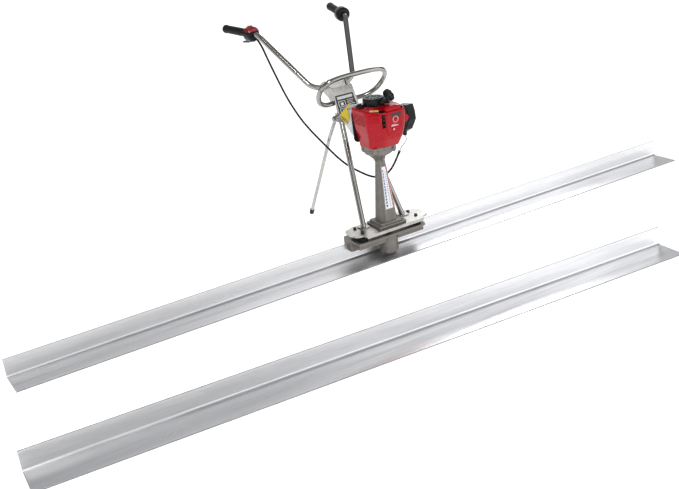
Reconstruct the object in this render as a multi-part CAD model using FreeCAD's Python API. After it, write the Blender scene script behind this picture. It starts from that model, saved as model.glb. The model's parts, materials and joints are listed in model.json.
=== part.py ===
import FreeCAD, Part
import math
import os

# Power screed: an L-shaped aluminium board, an exciter clamped on it, and a small
# engine on a column that drives the exciter. X runs along the board, +Y towards the
# operator, +Z up. The origin is on the sole's underside, below the exciter's axis.
V = FreeCAD.Vector
X, Y, Z = V(1, 0, 0), V(0, 1, 0), V(0, 0, 1)

# ---- driving dimensions, mm ----
BOARD_L, SPARE_L = 3050.0, 2400.0
SOLE_W, FLANGE_H, WALL = 130.0, 72.0, 4.0
FLANGE_Y = 62.0                       # rear face of the upright flange
FILLET_IN, FILLET_OUT = 9.0, 4.0
SPARE_AT, SPARE_YAW = (-434.0, -622.0), -3.0

CLAMP_X0, CLAMP_X1, CLAMP_Z0 = 95.0, 157.0, 45.0   # clamp blocks that straddle the flange
CLAMP_BOLT = (115.0, 59.0)
BARREL_R, BARREL_IN, BARREL_Z0 = 38.0, 30.0, 20.0
DECK_Z0, DECK_Z1 = 86.0, 96.0         # lower casting's deck, under the isolators
ISO_X, ISO_Y, ISO_R = 126.0, (36.0, -20.0), 18.0
PLATE_Z0, PLATE_Z1 = 126.0, 132.0     # base plate
PLATE_FRONT, PLATE_BACK = -68.0, 62.0
STEP_Z1, COL_Z0 = 141.0, 150.0        # two steps of the column's foot
COL_Z1, COL_FOOT, COL_NECK = 398.0, 37.0, 16.0
FLANGE_Z0, ENG_Z = 432.0, 443.0       # column head flange; engine sits on ENG_Z
FLANGE_R, LUG_R = 58.0, 60.0
SHAFT_R = 5.0

TUBE_R, TUBE_IN = 11.0, 9.0
TUBE_FOOT = (92.0, 25.0, 132.0)
TUBE_HEAD = (28.0, 232.0, 615.0)
LEAN = math.atan2(TUBE_HEAD[1] - TUBE_FOOT[1], TUBE_HEAD[2] - TUBE_FOOT[2])
BAR_Y, BAR_Z = 293.0, 646.0           # handlebar's cross run
BAR_S = (BAR_Y - TUBE_FOOT[1]) * math.sin(LEAN) + (BAR_Z - TUBE_FOOT[2]) * math.cos(LEAN)
BAR_N = (BAR_Y - TUBE_FOOT[1]) * math.cos(LEAN) - (BAR_Z - TUBE_FOOT[2]) * math.sin(LEAN)
SCREWS_AT = [(x, BAR_N + y) for x in (-26, 26) for y in (-15, 14.5)]
ARM_TOP, GRIP_END = (204.0, 494.0, 864.0), (251.0, 697.0, 879.0)
RING_R = 10.0
RING_LEFT = [(-47.0, 226.0, 590.0), (-95.0, 208.0, 595.0), (-131.0, 188.0, 616.0), (-148.0, 157.0, 653.0),
             (-144.0, 127.0, 688.0), (-119.0, 109.0, 709.0), (-80.0, 103.0, 716.0), (-35.0, 101.0, 718.0)]
HOUSING_AT, GRIP_AT, GRIP_L = 44.0, 74.0, 132.0   # along the grip run from the arm's top
STAND_PIVOT = (-62.0, 197.0, 538.0)
STAND_KNEE = (-72.0, 248.0, 454.0)
STAND_FOOT = (0.0, 640.0, 10.0)
STAND_R = 7.5

NECK_ROOT, NECK_TOP = (72.0, 78.0, 590.0), (93.0, 52.0, 613.0)   # filler neck
CRANK_PIN = 12.0                      # crank throw
CYL_Z = 520.0                         # height of the cylinder's axis
RECOIL_Z0, RECOIL_Z1, RECOIL_R = 610.0, 641.0, 42.0
ROPE_X, ROPE_Z = 29.0, 624.0
OIL_CAP = (-60.0, 6.0, 612.4)

CABLE_R, WIRE_R = 4.0, 1.3
CABLE = [(-199.0, 521.0, 845.0), (-203.0, 478.0, 825.0), (-201.0, 446.0, 775.0), (-189.0, 416.0, 706.0),
         (-170.0, 383.0, 616.0), (-140.0, 352.0, 531.0), (-115.0, 312.0, 474.0), (-90.0, 262.0, 423.0),
         (-65.0, 228.0, 377.0), (-42.0, 188.0, 341.0), (-12.0, 143.0, 314.0), (15.0, 100.0, 295.0),
         (38.0, 60.0, 299.0), (56.0, 30.0, 322.0), (70.0, 6.0, 360.0), (82.0, -10.0, 400.0)]
WIRE = [(86.0, -14.0, 410.0), (93.0, -14.0, 424.0), (105.0, -20.0, 435.0), (110.0, -30.0, 449.0),
        (106.0, -38.0, 462.0), (101.0, -38.0, 474.0)]


# ---- small builders ----
def box(x0, y0, z0, x1, y1, z1):
    return Part.makeBox(x1 - x0, y1 - y0, z1 - z0, V(x0, y0, z0))


def rod(r, a, b):
    a, b = V(*a), V(*b)
    return Part.makeCylinder(r, (b - a).Length, a, b - a)


def pipe(r_out, r_in, a, b):
    return rod(r_out, a, b).cut(rod(r_in, a, b))


def disc(r, z0, z1, x=0.0, y=0.0):
    return Part.makeCylinder(r, z1 - z0, V(x, y, z0), Z)


def ring(r_out, r_in, z0, z1, x=0.0, y=0.0):
    return disc(r_out, z0, z1, x, y).cut(disc(r_in, z0, z1, x, y))


def solid_of(points, push):
    return Part.Face(Part.makePolygon([V(*p) for p in points + points[:1]])).extrude(V(*push))


def turned(profile, at=(0, 0, 0), axis=Z):
    """Revolve (radius, height) points about the axis through at."""
    face = Part.Face(Part.makePolygon([V(r, 0, h) for r, h in profile + profile[:1]]))
    body = face.revolve(V(0, 0, 0), Z, 360)
    body.Placement = FreeCAD.Placement(V(*at), FreeCAD.Rotation(Z, axis))
    return body


def mirrored(shape):
    return shape.mirror(V(0, 0, 0), X)


def group(shapes):
    return Part.makeCompound([s for shape in shapes for s in (shape.Solids or [shape])])


def joined(shapes):
    body = shapes[0].multiFuse(shapes[1:]) if len(shapes) > 1 else shapes[0]
    return body.removeSplitter()


def rounded_rect(x0, y0, x1, y1, r, z):
    """Closed wire of a rectangle with round corners at height z."""
    h = r * (1 - math.sqrt(0.5))
    sides = [((x0 + r, y0), (x1 - r, y0)), ((x1, y0 + r), (x1, y1 - r)),
             ((x1 - r, y1), (x0 + r, y1)), ((x0, y1 - r), (x0, y0 + r))]
    mids = [(x1 - h, y0 + h), (x1 - h, y1 - h), (x0 + h, y1 - h), (x0 + h, y0 + h)]
    edges = []
    for i, (a, b) in enumerate(sides):
        nxt = sides[(i + 1) % 4][0]
        edges.append(Part.makeLine(V(*a, z), V(*b, z)))
        edges.append(Part.Arc(V(*b, z), V(*mids[i], z), V(*nxt, z)).toShape())
    return Part.Wire(edges)


def pad(x0, y0, x1, y1, r, z0, z1):
    return Part.Face(rounded_rect(x0, y0, x1, y1, r, z0)).extrude(V(0, 0, z1 - z0))


def hexagon(across, a, b):
    """Hexagonal prism from a to b; a bolt head or nut."""
    a, b = V(*a), V(*b)
    r = across / math.sqrt(3)
    pts = [V(r * math.cos(math.radians(60 * i)), r * math.sin(math.radians(60 * i)), 0) for i in range(7)]
    body = Part.Face(Part.makePolygon(pts)).extrude(V(0, 0, (b - a).Length))
    body.Placement = FreeCAD.Placement(a, FreeCAD.Rotation(Z, b - a))
    return body


def bolt(thread_r, across, head, seat, tip):
    """Hex bolt: head from seat outwards, shank from seat to tip."""
    s, t = V(*seat), V(*tip)
    out = (s - t).normalize() * head
    return joined([rod(thread_r, seat, tip), hexagon(across, seat, s + out)])


def path_wire(points, radius=None, label=""):
    """Straight runs joined by tangent arcs; without a radius each arc fills 0.45 of its shorter run."""
    pts = [V(*p) for p in points]
    edges, start, radii = [], pts[0], []
    for before, corner, after in zip(pts, pts[1:], pts[2:]):
        u, w = (before - corner).normalize(), (after - corner).normalize()
        half = math.acos(max(-1.0, min(1.0, -u.dot(w)))) / 2
        r = radius or 0.45 * min((before - corner).Length, (after - corner).Length) / math.tan(half)
        cut = r * math.tan(half)
        a, b = corner + u * cut, corner + w * cut
        inward = (u + w).normalize()
        mid = corner + inward * (r / math.cos(half) - r)
        edges.append(Part.LineSegment(start, a).toShape())
        edges.append(Part.Arc(a, mid, b).toShape())
        start = b
        radii.append(round(r, 1))
    edges.append(Part.LineSegment(start, pts[-1]).toShape())
    if label:
        print(label, "radii", radii, "length", round(sum(e.Length for e in edges), 1))
    return Part.Wire(edges)


def swept(points, r, radius=None, label=""):
    wire = path_wire(points, radius, label)
    first = wire.Edges[0]
    heading = first.tangentAt(first.FirstParameter)
    profile = Part.Wire([Part.makeCircle(r, V(*points[0]), heading)])
    body = wire.makePipeShell([profile], True, True)
    if label:
        print(label, "volume", round(body.Volume), "section x length", round(math.pi * r * r * wire.Length))
    return body


def hollow_tube(points, r_out, r_in, radius):
    return swept(points, r_out, radius).cut(swept(points, r_in, radius))


def leaned(shape):
    """From the tube frame's own axes, Z along the lean, to the machine's."""
    turn = FreeCAD.Rotation(X, -math.degrees(LEAN))
    body = shape.copy()
    body.Placement = FreeCAD.Placement(V(0, TUBE_FOOT[1], TUBE_FOOT[2]), turn).multiply(body.Placement)
    return body


def along(a, b, t):
    a, b = V(*a), V(*b)
    return a + (b - a).normalize() * t


# ---- boards ----
def board(length):
    y0, y1, h, t = FLANGE_Y - SOLE_W, FLANGE_Y, FLANGE_H, WALL
    ro, ri, k = FILLET_OUT, FILLET_IN, 1 - math.sqrt(0.5)
    p = [V(0, *q) for q in ((y0, 0), (y1 - ro, 0), (y1, ro), (y1, h), (y1 - t, h), (y1 - t, t + ri),
                            (y1 - t - ri, t), (y0, t))]
    outer_mid = V(0, y1 - ro * k, ro * k)
    inner_mid = V(0, y1 - t - ri * k, t + ri * k)
    edges = [Part.makeLine(p[0], p[1]), Part.Arc(p[1], outer_mid, p[2]).toShape(),
             Part.makeLine(p[2], p[3]), Part.makeLine(p[3], p[4]), Part.makeLine(p[4], p[5]),
             Part.Arc(p[5], inner_mid, p[6]).toShape(), Part.makeLine(p[6], p[7]), Part.makeLine(p[7], p[0])]
    body = Part.Face(Part.Wire(edges)).extrude(V(length, 0, 0))
    body.translate(V(-length / 2, 0, 0))
    return body


def spare_board():
    body = board(SPARE_L)
    body.translate(V(0, -FLANGE_Y, 0))
    body.rotate(V(0, 0, 0), Z, SPARE_YAW)
    body.translate(V(SPARE_AT[0], SPARE_AT[1], 0))
    return body


# ---- exciter and its clamps ----
def exciter_housing():
    deck = pad(-158, -44, 158, 58, 16, DECK_Z0, DECK_Z1)
    barrel = disc(BARREL_R, BARREL_Z0, DECK_Z0)
    arm = box(30, -30, 66, 150, 26, DECK_Z0)
    pocket = box(46, -24, 60, 144, 20, DECK_Z0)
    block = pad(CLAMP_X0, 26, CLAMP_X1, 84, 6, CLAMP_Z0, DECK_Z1)
    slot = box(CLAMP_X0 - 5, FLANGE_Y - WALL, 20, CLAMP_X1 + 5, FLANGE_Y, FLANGE_H)
    x, z = CLAMP_BOLT
    hole = rod(5, (x, 20, z), (x, FLANGE_Y - WALL, z))
    seat = rod(11, (x, 20, z), (x, 30, z))
    studs = [disc(4, 60, DECK_Z1 + 1, s * ISO_X, y) for s in (1, -1) for y in ISO_Y]
    body = joined([deck, barrel, arm, mirrored(arm), block, mirrored(block)])
    cuts = [pocket, slot, hole, seat]
    body = body.cut(group(cuts + [mirrored(cut) for cut in cuts] + studs))
    inside = [disc(BARREL_IN, BARREL_Z0 - 1, 76), disc(15, 75, DECK_Z0), disc(8, DECK_Z0 - 1, DECK_Z1 + 1)]
    inside += [disc(9, 70, DECK_Z0, s * ISO_X, y) for s in (1, -1) for y in ISO_Y]
    return body.cut(group(inside)).removeSplitter()


def exciter_cover():
    plug = [(8, 9), (27, 9), (27, 20), (30, 20), (30, 30), (15, 30), (15, 24), (0, 24), (0, 9)]
    return turned(plug[1:])


def eccentric_rotor():
    shaft = disc(5.97, 24.5, 92)
    stub = disc(SHAFT_R - 0.03, 92, 112)
    lump = disc(26, 42, 70).cut(box(-30, -30, 40, 30, 6, 72))
    return joined([shaft, stub, lump, disc(11, 38, 74)])


def clamp_bolts():
    x, z = CLAMP_BOLT
    one = bolt(5, 15, 8, (x, 30, z), (x, FLANGE_Y - WALL, z))
    return [one, mirrored(one)]


def isolators():
    made = []
    z0, z1, r = DECK_Z1, PLATE_Z0, ISO_R
    pitch = (z1 - z0) / 5
    profile = [(4, z0)]
    for i in range(5):
        grow = r if i % 2 == 0 else r - 3
        profile += [(grow, z0 + i * pitch), (grow, z0 + (i + 1) * pitch)]
    profile += [(4, z1)]
    for s in (1, -1):
        for y in ISO_Y:
            made.append(turned(profile, at=(s * ISO_X, y, 0)))
    return group(made)


def isolator_bolts():
    made = []
    for s in (1, -1):
        for y in ISO_Y:
            made.append(bolt(4, 13, 6, (s * ISO_X, y, PLATE_Z1), (s * ISO_X, y, 114)))
            made.append(bolt(4, 13, 6, (s * ISO_X, y, DECK_Z0), (s * ISO_X, y, 108)))
    return made


# ---- base plate and column ----
def base_plate():
    middle = pad(-136, PLATE_FRONT, 136, PLATE_BACK, 8, PLATE_Z0, PLATE_Z1)
    tabs = pad(-174, -48, 174, 52, 30, PLATE_Z0, PLATE_Z1)
    lips = [box(-130, PLATE_FRONT, 120, 130, PLATE_FRONT + 4, PLATE_Z0),
            box(-130, PLATE_BACK - 4, 120, 130, PLATE_BACK, PLATE_Z0)]
    holes = [disc(4, 120, 140, s * ISO_X, y) for s in (1, -1) for y in ISO_Y]
    holes += [disc(4, 120, 140, x, y) for x in (-48, 48) for y in (-38, 38)]
    holes.append(disc(22, 110, 140))
    return joined([middle, tabs] + lips).cut(group(holes)).removeSplitter()


def octagon(half, corner, z):
    h, c = half, half - corner
    pts = [(-c, -h), (c, -h), (h, -c), (h, c), (c, h), (-c, h), (-h, c), (-h, -c)]
    return Part.makePolygon([V(x, y, z) for x, y in pts + pts[:1]])


def column():
    steps = [pad(-62, -52, 62, 52, 6, PLATE_Z1, STEP_Z1), pad(-52, -44, 52, 44, 5, STEP_Z1, COL_Z0)]
    shaft = Part.makeLoft([octagon(COL_FOOT, 15, COL_Z0), octagon(COL_NECK, 6.5, COL_Z1)], True, True)
    funnel = turned([(0, COL_Z1), (16, COL_Z1), (19, 405), (29, 412), (44, 419), (55, 426),
                     (FLANGE_R, FLANGE_Z0), (FLANGE_R, ENG_Z), (0, ENG_Z)])
    lugs = [disc(9, FLANGE_Z0, ENG_Z, LUG_R * math.cos(a), LUG_R * math.sin(a)) for a in lug_angles()]
    body = joined(steps + [shaft, funnel] + lugs)
    bore = turned([(0, 120), (24, 120), (24, 146), (10, 152), (10, 400), (18, 411), (36, 420), (42, 424), (42, 450),
                   (0, 450)])
    holes = [disc(3, 400, 450, LUG_R * math.cos(a), LUG_R * math.sin(a)) for a in lug_angles()]
    holes += [disc(4, PLATE_Z1 - 1, 146, x, y) for x in (-48, 48) for y in (-38, 38)]
    seats = [disc(11, 152, 160), disc(11, 386, 394)]
    seats += [disc(7, 420, FLANGE_Z0, LUG_R * math.cos(a), LUG_R * math.sin(a)) for a in lug_angles()]
    return body.cut(group([bore] + holes + seats))


def lug_angles():
    return [math.radians(45 + 90 * i) for i in range(4)]


def cover_front(z):
    """Y of the red cover's sloping front in its tallest section."""
    low, high = COVER_SECTIONS[2], COVER_SECTIONS[3]
    return low[2] + (high[2] - low[2]) * (z - low[4]) / (high[4] - low[4])


def cover_screws():
    return [rod(3.2, (-24, cover_front(z) + 1.5, z), (-24, cover_front(z) + 8, z)) for z in (556, 572, 586)]


def engine_screws():
    """Engine flange bolts and the three screws of the red cover."""
    made = cover_screws()
    for a in lug_angles():
        x, y = LUG_R * math.cos(a), LUG_R * math.sin(a)
        made.append(bolt(3, 10, 5, (x, y, FLANGE_Z0), (x, y, ENG_Z + 9)))
    return group(made)


def bearings():
    """Two in the exciter, two in the column."""
    low = [ring(15, 6, z, z + 9) for z in (24, 76)]
    return group(low + [ring(11, SHAFT_R, z, z + 8) for z in (152, 386)])


def drive_shaft():
    return disc(SHAFT_R - 0.03, 126, 430)


def flexible_coupling():
    body = ring(15, SHAFT_R, 98, 142)
    grooves = [ring(16, 12, z, z + 3) for z in (106, 116, 126)]
    return body.cut(group(grooves))


def clutch_drum():
    return turned([(SHAFT_R, 426), (38, 426), (38, 448), (35, 448), (35, 430), (9, 430), (9, 434), (SHAFT_R, 434)])


# ---- engine ----
def bell_housing():
    wall = ring(57, 50, ENG_Z, 466)
    top = ring(57, 13, 466, 470)
    lugs = [disc(9, ENG_Z, 456, LUG_R * math.cos(a), LUG_R * math.sin(a)) for a in lug_angles()]
    holes = [disc(3, 440, 452, LUG_R * math.cos(a), LUG_R * math.sin(a)) for a in lug_angles()]
    body = joined([wall, top] + [lug.cut(disc(50, 440, 466)) for lug in lugs])
    return body.cut(group(holes))


def crankshaft():
    shaft = [disc(6, 436, 500), disc(6, 524, 616)]
    webs = [disc(23, 498, 506), disc(23, 518, 526)]
    pin = disc(5, 505, 519, 0, -CRANK_PIN)
    hub = ring(13, 6, 600, 616)
    return joined(shaft + webs + [pin, hub])


def flywheel_fan():
    hub = ring(46, 6, 452, 456)
    boss = ring(12, 6, 449, 462)
    blade = box(20, -1.2, 455, 46, 1.2, 463)
    blades = []
    for i in range(12):
        b = blade.copy()
        b.rotate(V(0, 0, 0), Z, 30 * i)
        blades.append(b)
    return joined([hub, boss] + blades)


def clutch_shoes():
    made = []
    for flip in (0, 180):
        shoe = ring(33, 20, 435, 446).cut(box(-40, -6, 430, 40, 6, 450)).cut(box(-40, -40, 430, 40, 0, 450))
        link = box(-5, 6.1, 437, 5, 20.5, 444)
        shoe = shoe.fuse(link)
        shoe.rotate(V(0, 0, 0), Z, flip)
        made.append(shoe)
    return group(made)


def crankcase():
    body = pad(-42, -38, 42, 39.8, 10, 470, 598)
    cavity = disc(28, 478, 588)
    bores = disc(6.05, 460, 600)
    mouth = rod(17.5, (0, -60, CYL_Z), (0, 0, CYL_Z))
    return body.cut(group([cavity])).cut(bores).cut(mouth)


def cylinder_block():
    barrel = rod(22, (0, -38, CYL_Z), (0, -74, CYL_Z))
    fins = [pad(-31, -30, 31, 30, 8, 0, 2.2) for _ in range(6)]
    placed = []
    for i, fin in enumerate(fins):
        fin.rotate(V(0, 0, 0), X, 90)
        fin.translate(V(0, -40 - 5.6 * i, CYL_Z))
        placed.append(fin)
    return joined([barrel] + placed).cut(rod(17.5, (0, -30, CYL_Z), (0, -70, CYL_Z)))


def cylinder_head():
    """Head with its rocker cover."""
    head = box(-20, -81, CYL_Z - 27, 20, -74, CYL_Z + 27)
    cover = box(-12, -86, CYL_Z - 18, 12, -81, CYL_Z + 22)
    return group([head, cover])


def spark_plug():
    """Plug and its rubber cap."""
    plug = joined([rod(3, (20, -77.5, CYL_Z), (40, -77.5, CYL_Z)),
                   hexagon(12, (22.5, -77.5, CYL_Z), (28, -77.5, CYL_Z))])
    cap = rod(7, (30, -77.5, CYL_Z), (52, -77.5, CYL_Z)).cut(rod(3, (29, -77.5, CYL_Z), (40, -77.5, CYL_Z)))
    return group([plug, cap])


def ignition_coil():
    return joined([box(2, -60, 472, 24, -42, 488), box(24, -56, 476, 40, -48, 484)])


# left side, left front corner, front, right side and height of the red cover's plan
COVER_SECTIONS = [(-52, -34, -66, 56, 464), (-63, -44, -88, 66, 492), (-71, -52, -98, 72, 526),
                  (-78, -57, -103, 77, 590), (-75, -54, -98, 71, 612)]


def cover_loft(inset, z_low, z_high):
    wires = []
    for left, corner, front, right, z in COVER_SECTIONS:
        x0, x1, y0, y1, z = left + inset, right - inset, front + inset, 43 - inset, min(max(z, z_low), z_high)
        plan = [(x0, y1), (x0, corner + inset), (x0 + 39, y0 + 4), (x0 + 50, y0), (x1 - 14, y0),
                (x1 - 4, y0 + 5), (x1, y0 + 18), (x1, y1)]
        wires.append(Part.makePolygon([V(x, y, z) for x, y in plan + plan[:1]]))
    slope = solid_of([(-100, -120, 596 - inset), (-100, -45, 613 - inset), (-100, -45, 660), (-100, -120, 660)],
                     (200, 0, 0))
    return Part.makeLoft(wires, True, True).cut(slope)


def engine_cover():
    body = cover_loft(0, 464, 612).cut(cover_loft(3, 460, 608))
    body = body.cut(box(-64, 36, 474, 64, 60, 600))
    openings = [disc(61, 440, 472), disc(42, 600, 620), rod(15, (60, -14, 540), (120, -14, 540)),
                rod(4, (60, -34, 506), (120, -34, 506))]
    louvres = [box(-90, 30 - 9 * i, 548, -60, 34 - 9 * i, 590) for i in range(9)]
    recess = solid_of([(-32, cover_front(z) + d, z) for z, d in ((542, -9), (590, -9), (590, 2), (542, 2))],
                      (14, 0, 0))
    body = body.cut(group(openings)).cut(group(louvres)).cut(group([recess] + cover_screws()))
    nose = solid_of([(68, -88, 540), (90, -88, 546), (94, -88, 560), (84, -88, 572), (68, -88, 576)], (0, 18, 0))
    return joined([body, nose.cut(cover_loft(3, 460, 608))])


def cover_panel():
    plate = pad(-14, 508, 56, 594, 14, 0, 20)
    plate.rotate(V(0, 0, 0), X, 90)
    plate.translate(V(0, -88, 0))
    return plate.cut(cover_loft(0, 464, 612))


def rear_shell():
    plate = pad(-76, 470, 77, 597.5, 18, 0, 6)
    plate.rotate(V(0, 0, 0), X, 90)
    plate.translate(V(0, 49, 0))
    return plate.cut(rod(15, (0, 30, 530), (0, 60, 530)))


def fuel_tank():
    lower = rounded_rect(-64, 54, 66, 92, 14, 494)
    middle = rounded_rect(-83, 50, 84, 102, 18, 536)
    upper = rounded_rect(-83, 50, 84, 102, 18, 590)
    crown = rounded_rect(-76, 56, 76, 96, 14, 604)
    shell = Part.makeLoft([lower, middle, upper, crown], True, True)
    neck = rod(14, NECK_ROOT, NECK_TOP)
    return joined([shell, neck])


def fuel_cap():
    axis = V(*NECK_TOP) - V(*NECK_ROOT)
    top = turned([(0, 0), (26, 0), (26, 15), (20, 20), (0, 20)], at=NECK_TOP, axis=axis)
    flats = []
    for i in range(7):
        a = 2 * math.pi * i / 7
        groove = disc(6, -1, 21, 29.5 * math.cos(a), 29.5 * math.sin(a))
        groove.Placement = FreeCAD.Placement(V(*NECK_TOP), FreeCAD.Rotation(Z, axis)).multiply(groove.Placement)
        flats.append(groove)
    lift = axis.normalize() * 0.4
    body = top.cut(group(flats))
    body.translate(lift)
    return body


def oil_cap():
    x, y, z = OIL_CAP
    body = turned([(0, 0), (15, 0), (15, 7), (12, 10), (0, 10)], at=OIL_CAP)
    grooves = [disc(3, z - 1, z + 12, x + 16.5 * math.cos(a), y + 16.5 * math.sin(a))
               for a in [math.pi * i / 4 for i in range(8)]]
    return body.cut(group(grooves))


def top_case():
    return ring(40, 14, 598, RECOIL_Z0)


def recoil_housing():
    shell = turned([(0, RECOIL_Z0), (RECOIL_R, RECOIL_Z0), (RECOIL_R, 635), (RECOIL_R - 4, RECOIL_Z1),
                    (0, RECOIL_Z1)])
    cavity = disc(35.5, RECOIL_Z0 - 1, 636)
    mouth = pad(ROPE_X - 7, -48, ROPE_X + 7, -24, 3, 618, 630).cut(disc(36, RECOIL_Z0, 636))
    hole = rod(3.5, (ROPE_X, -10, ROPE_Z), (ROPE_X, -70, ROPE_Z))
    return joined([shell, mouth]).cut(cavity).cut(hole).fuse(disc(4.9, 619, 636)).removeSplitter()


def recoil_pulley():
    """Pulley with the rope wound on it."""
    pulley = turned([(5, 619), (32, 619), (32, 621), (27, 621), (27, 627), (32, 627), (32, 629), (5, 629)])
    return group([pulley, ring(31, 27, 621.3, 626.7)])


def recoil_spring():
    coils = [ring(12 + 3.2 * i + 1.2, 12 + 3.2 * i, 630.5, 635.5) for i in range(6)]
    spokes = [box(12, -0.8, 630.5, 29, 0.8, 635.5)]
    return joined(coils + spokes)


def starter_rope():
    return rod(1.9, (ROPE_X, -20, ROPE_Z), (ROPE_X, -52, ROPE_Z))


def pull_grip():
    handle = rod(7, (ROPE_X - 24, -57, ROPE_Z + 6), (ROPE_X + 26, -57, ROPE_Z + 21))
    neck = joined([rod(5, (ROPE_X, -49, ROPE_Z), (ROPE_X, -57, ROPE_Z)), rod(5, (ROPE_X, -57, ROPE_Z - 4), (ROPE_X, -57, ROPE_Z + 14))])
    return joined([handle, neck]).cut(starter_rope())


def muffler():
    return pad(-60, -36, -44, 24, 7, 512, 584)


def carburettor():
    body = pad(46, -30, 67, 2, 4, 522, 558)
    return joined([body, rod(9, (42, -14, 540), (46, -14, 540)), rod(12, (67, -14, 540), (88, -14, 540))])


def air_cleaner(x0, x1, grow):
    outline = [(-45, 590), (20, 581), (30, 570), (29, 468), (20, 462), (-27, 488), (-58, 532), (-56, 562)]
    cy, cz = -18, 540
    pts = [(x0, cy + (y - cy) * grow, cz + (z - cz) * grow) for y, z in outline]
    return solid_of(pts, (x1 - x0, 0, 0))


def air_cleaner_case():
    body = air_cleaner(88, 112, 0.94)
    pin = rod(2.5, (78.5, -34, 506), (88, -34, 506))
    return joined([body, pin, rod(2.5, (82, 6, 568), (88, 6, 568))])


def air_cleaner_cover():
    return air_cleaner(112, 146, 1.0)


def choke_lever():
    body = joined([rod(5, (83, 6, 568), (86.5, 6, 568)), box(83, 6, 564.5, 86.5, 36, 571.5)])
    return body.cut(rod(2.55, (82, 6, 568), (88, 6, 568)))


def throttle_arm():
    body = joined([rod(5, (80, -34, 506), (84, -34, 506)), box(80, -58, 503, 84, -34, 509)])
    return body.cut(rod(2.55, (78, -34, 506), (88, -34, 506)))


# ---- frame, head and handlebar ----
def frame_tube():
    a, b = V(*TUBE_FOOT), V(*TUBE_HEAD)
    start = a - (b - a).normalize() * 20
    body = pipe(TUBE_R, TUBE_IN, start, b)
    return body.cut(box(0, -60, 60, 160, 120, PLATE_Z1 + 4))


def tube_feet():
    one = pad(72, 4, 112, 44, 6, PLATE_Z1, PLATE_Z1 + 4)
    return group([one, mirrored(one)])


def head_bracket():
    t = 3.0
    plate = solid_of([(-53, -15, 436), (53, -15, 436), (47, -15, 556), (-47, -15, 556)], (0, t, 0))
    outline = [(-12, 502), (-12, 556), (26, 598), (64, 598), (64, 566), (34, 532), (26, 502)]
    cheeks = [solid_of([(s * 47, y, z) for y, z in outline], (-s * t, 0, 0)) for s in (1, -1)]
    return leaned(joined([plate] + cheeks)).cut(cross_run())


def cross_run():
    return rod(TUBE_R, (-80, BAR_Y, BAR_Z), (80, BAR_Y, BAR_Z))


def clamp_half(upper):
    block = pad(-44, BAR_N - 20, 44, BAR_N + 18, 5, BAR_S - 17, BAR_S + 17)
    keep = box(-60, 0, BAR_S + 0.4, 60, 100, 640) if upper else box(-60, 0, 540, 60, 100, BAR_S - 0.4)
    half = block.common(keep).cut(group([rod(3, (x, y, BAR_S - 15), (x, y, BAR_S + 20)) for x, y in SCREWS_AT]))
    return leaned(half).cut(cross_run())


def clamp_screws():
    made = [bolt(3, 9, 5, (x, y, BAR_S + 17), (x, y, BAR_S - 15)) for x, y in SCREWS_AT]
    return [leaned(group(made))]


def frame_bolts():
    """Bolts of the board clamps, isolators, column foot, handlebar clamp and stand pivot."""
    foot = [bolt(4, 13, 5, (x, y, PLATE_Z0), (x, y, 146)) for x in (-48, 48) for y in (-38, 38)]
    return group(clamp_bolts() + isolator_bolts() + foot + clamp_screws() + [stand_pivot()])


def bar_points():
    left = [(-GRIP_END[0], GRIP_END[1], GRIP_END[2]), (-ARM_TOP[0], ARM_TOP[1], ARM_TOP[2]), (-92, BAR_Y, BAR_Z)]
    return left + [(-x, y, z) for x, y, z in reversed(left)]


def handlebar():
    return hollow_tube(bar_points(), TUBE_R, TUBE_IN, 62.0)


def grip_run():
    return rod(TUBE_R, ARM_TOP, GRIP_END)


def guard_ring():
    points = RING_LEFT + [(-x, y, z) for x, y, z in reversed(RING_LEFT)]
    return hollow_tube(points, RING_R, RING_R - 2, None).cut(box(-47, 180, 560, 47, 280, 640))


def grip():
    """Right-hand grip with four finger grooves on its underside."""
    start, end = along(ARM_TOP, GRIP_END, GRIP_AT), along(ARM_TOP, GRIP_END, GRIP_AT + GRIP_L)
    axis = end - start
    body = turned([(0, 0), (19, 0), (19, 4), (16.5, 8), (16, GRIP_L - 8), (17.5, GRIP_L - 4),
                   (16, GRIP_L + 4), (0, GRIP_L + 4)], at=start, axis=axis)
    grooves = []
    for i in range(4):
        at = start + axis.normalize() * (24 + 27 * i) + V(0, 0, -25)
        grooves.append(Part.makeCylinder(12, 60, at - V(30, 0, 0), X))
    return body.cut(group(grooves)).cut(grip_run())


def hand_grips():
    return group([grip(), mirrored(grip())])


def control_housing():
    """Round housing on the bar's right arm; the left one carries the throttle."""
    a, b = along(ARM_TOP, GRIP_END, HOUSING_AT - 22), along(ARM_TOP, GRIP_END, HOUSING_AT + 22)
    axis = V(*GRIP_END) - V(*ARM_TOP)
    body = turned([(0, 0), (24, 0), (30, 6), (30, 34), (24, 44), (0, 44)], at=a, axis=axis)
    return body.cut(grip_run())


def housing_centre():
    c = along(ARM_TOP, GRIP_END, HOUSING_AT)
    return -c.x, c.y, c.z


def cap_zone():
    x, y, z = housing_centre()
    return box(x - 60, y - 60, z + 12, x + 60, y + 60, z + 60)


def throttle_housing():
    x, y, z = housing_centre()
    slot = box(x - 6, y - 12, z - 40, x + 6, y + 40, z - 17)
    gland = rod(6, CABLE[0], V(*CABLE[0]) + (V(*CABLE[0]) - V(*CABLE[1])).normalize() * 10)
    body = mirrored(control_housing()).cut(cap_zone()).fuse(gland.cut(mirrored(grip_run())))
    body = body.cut(group([slot, rod(CABLE_R, CABLE[1], CABLE[0])]))
    return body.fuse(rod(2, (x - 8, y + 2, z - 24), (x + 8, y + 2, z - 24))).removeSplitter()


def switch_cap():
    x, y, z = housing_centre()
    body = mirrored(control_housing()).common(cap_zone())
    return body.cut(box(x - 8.3, y - 10.3, z + 14, x + 8.3, y + 10.3, z + 60))


def kill_switch():
    x, y, z = housing_centre()
    return pad(x - 8, y - 10, x + 8, y + 10, 3, z + 18, z + 33)


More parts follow.
